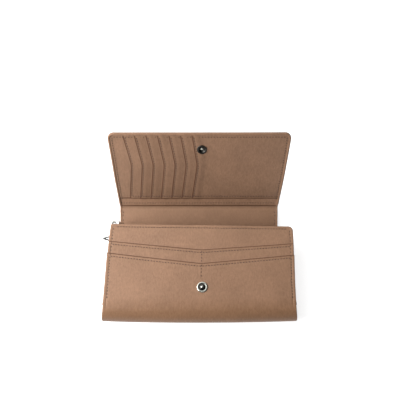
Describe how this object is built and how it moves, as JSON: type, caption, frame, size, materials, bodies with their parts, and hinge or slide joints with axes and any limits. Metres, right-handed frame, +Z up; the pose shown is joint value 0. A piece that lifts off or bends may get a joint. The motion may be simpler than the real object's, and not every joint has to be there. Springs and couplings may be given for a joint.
{
  "type": "wallet",
  "caption": "Long leather wallet with a snap flap, chevron card panels inside it, two note compartments, a zipped coin pocket and a side strap ring.",
  "frame": {"origin": "centre of the flat outer face of the back, which the wallet lies on", "axes": "+X along the width, to the right seen from the front; +Y from the bottom fold to the folding spine; +Z up through the thickness"},
  "size_m": [0.1998, 0.1598, 0.1066],
  "materials": {
    "outer_leather": "fine pebble grain, satin",
    "lining_leather": "smooth, matt",
    "pocket_leather": "smooth, matt",
    "zip_tape": "woven tape",
    "zip_metal": "satin nickel",
    "nickel": "polished nickel",
    "dark_metal": "dark gunmetal",
    "ring_metal": "aged nickel wire"
  },
  "bodies": {
    "back": {"back_leather": "outer_leather", "back_lining": "lining_leather", "bottom_wrap": "outer_leather", "rear_gusset_left": "pocket_leather", "rear_gusset_right": "pocket_leather"},
    "spine": {"spine_leather": "outer_leather", "spine_lining": "lining_leather"},
    "flap": {"flap_leather": "outer_leather", "flap_lining": "lining_leather", "long_pocket": "outer_leather", "card_panel_1": "outer_leather", "card_panel_2": "outer_leather", "card_panel_3": "outer_leather", "card_panel_4": "outer_leather", "card_panel_5": "outer_leather", "card_panel_6": "outer_leather", "card_panel_7": "outer_leather", "snap_socket": "dark_metal", "snap_cap": "nickel"},
    "front": {"front_leather": "outer_leather", "front_lining": "lining_leather", "upper_pocket": "outer_leather", "lower_pocket": "outer_leather", "snap_stud": "nickel", "stud_back_plate": "nickel"},
    "coin_pocket": {"coin_back_wall": "pocket_leather", "coin_front_wall": "pocket_leather", "coin_edge_binding": "pocket_leather", "zip_tape_back": "zip_tape", "zip_tape_front": "zip_tape", "zip_teeth_back": "zip_metal", "zip_teeth_front": "zip_metal", "zip_stops": "zip_metal", "front_gusset_left": "pocket_leather", "front_gusset_right": "pocket_leather", "side_tab": "outer_leather"},
    "slider": {"zip_slider": "zip_metal"},
    "pull": {"zip_pull": "zip_metal"},
    "loop": {"strap_loop": "ring_metal"},
    "link": {"strap_link": "ring_metal"},
    "ring": {"strap_ring": "ring_metal"}
  },
  "joints": [
    {"name": "spine_fold", "type": "hinge", "parent": "back", "child": "spine", "pos_m": [0, 0.04883, 0.0024], "axis": [1, 0, 0], "range_deg": [-34.4, 54.6]},
    {"name": "flap_fold", "type": "hinge", "parent": "spine", "child": "flap", "pos_m": [0, 0.0692, 0.01688], "axis": [1, 0, 0], "range_deg": [-34.4, 54.6]},
    {"name": "front_open", "type": "hinge", "parent": "back", "child": "front", "pos_m": [0, -0.04618, 0.0112], "axis": [1, 0, 0], "range_deg": [-7.8, 5], "deforming": ["front_gusset_left", "front_gusset_right"]},
    {"name": "coin_open", "type": "hinge", "parent": "back", "child": "coin_pocket", "pos_m": [0, -0.04618, 0.0112], "axis": [1, 0, 0], "range_deg": [-3.9, 2.5], "deforming": ["rear_gusset_left", "rear_gusset_right"]},
    {"name": "zip_slide", "type": "slide", "parent": "coin_pocket", "child": "slider", "axis": [1, 0, 0], "range_m": [0, 0.148]},
    {"name": "zip_pull_swing", "type": "hinge", "parent": "slider", "child": "pull", "pos_m": [-0.075, 0.03833, 0.01696], "axis": [0, -0.068, 0.9977], "range_deg": [-180, 0]},
    {"name": "strap_loop_swing", "type": "hinge", "parent": "coin_pocket", "child": "loop", "pos_m": [-0.0872, 0.04681, 0.01754], "axis": [0, -0.068, 0.9977], "range_deg": [-8, 4]},
    {"name": "strap_link_swing", "type": "hinge", "parent": "loop", "child": "link", "pos_m": [-0.0938, 0.04681, 0.01754], "axis": [0, -0.068, 0.9977], "range_deg": [-80, 0]},
    {"name": "strap_ring_swing", "type": "hinge", "parent": "link", "child": "ring", "pos_m": [-0.0944, 0.02885, 0.01631], "axis": [0, -0.068, 0.9977], "range_deg": [-50, 80]}
  ],
  "couplings": [
    {"joint": "flap_fold", "follows": "spine_fold", "ratio": 1},
    {"joint": "front_open", "follows": "spine_fold", "ratio": -0.14286},
    {"joint": "coin_open", "follows": "spine_fold", "ratio": -0.071429}
  ]
}
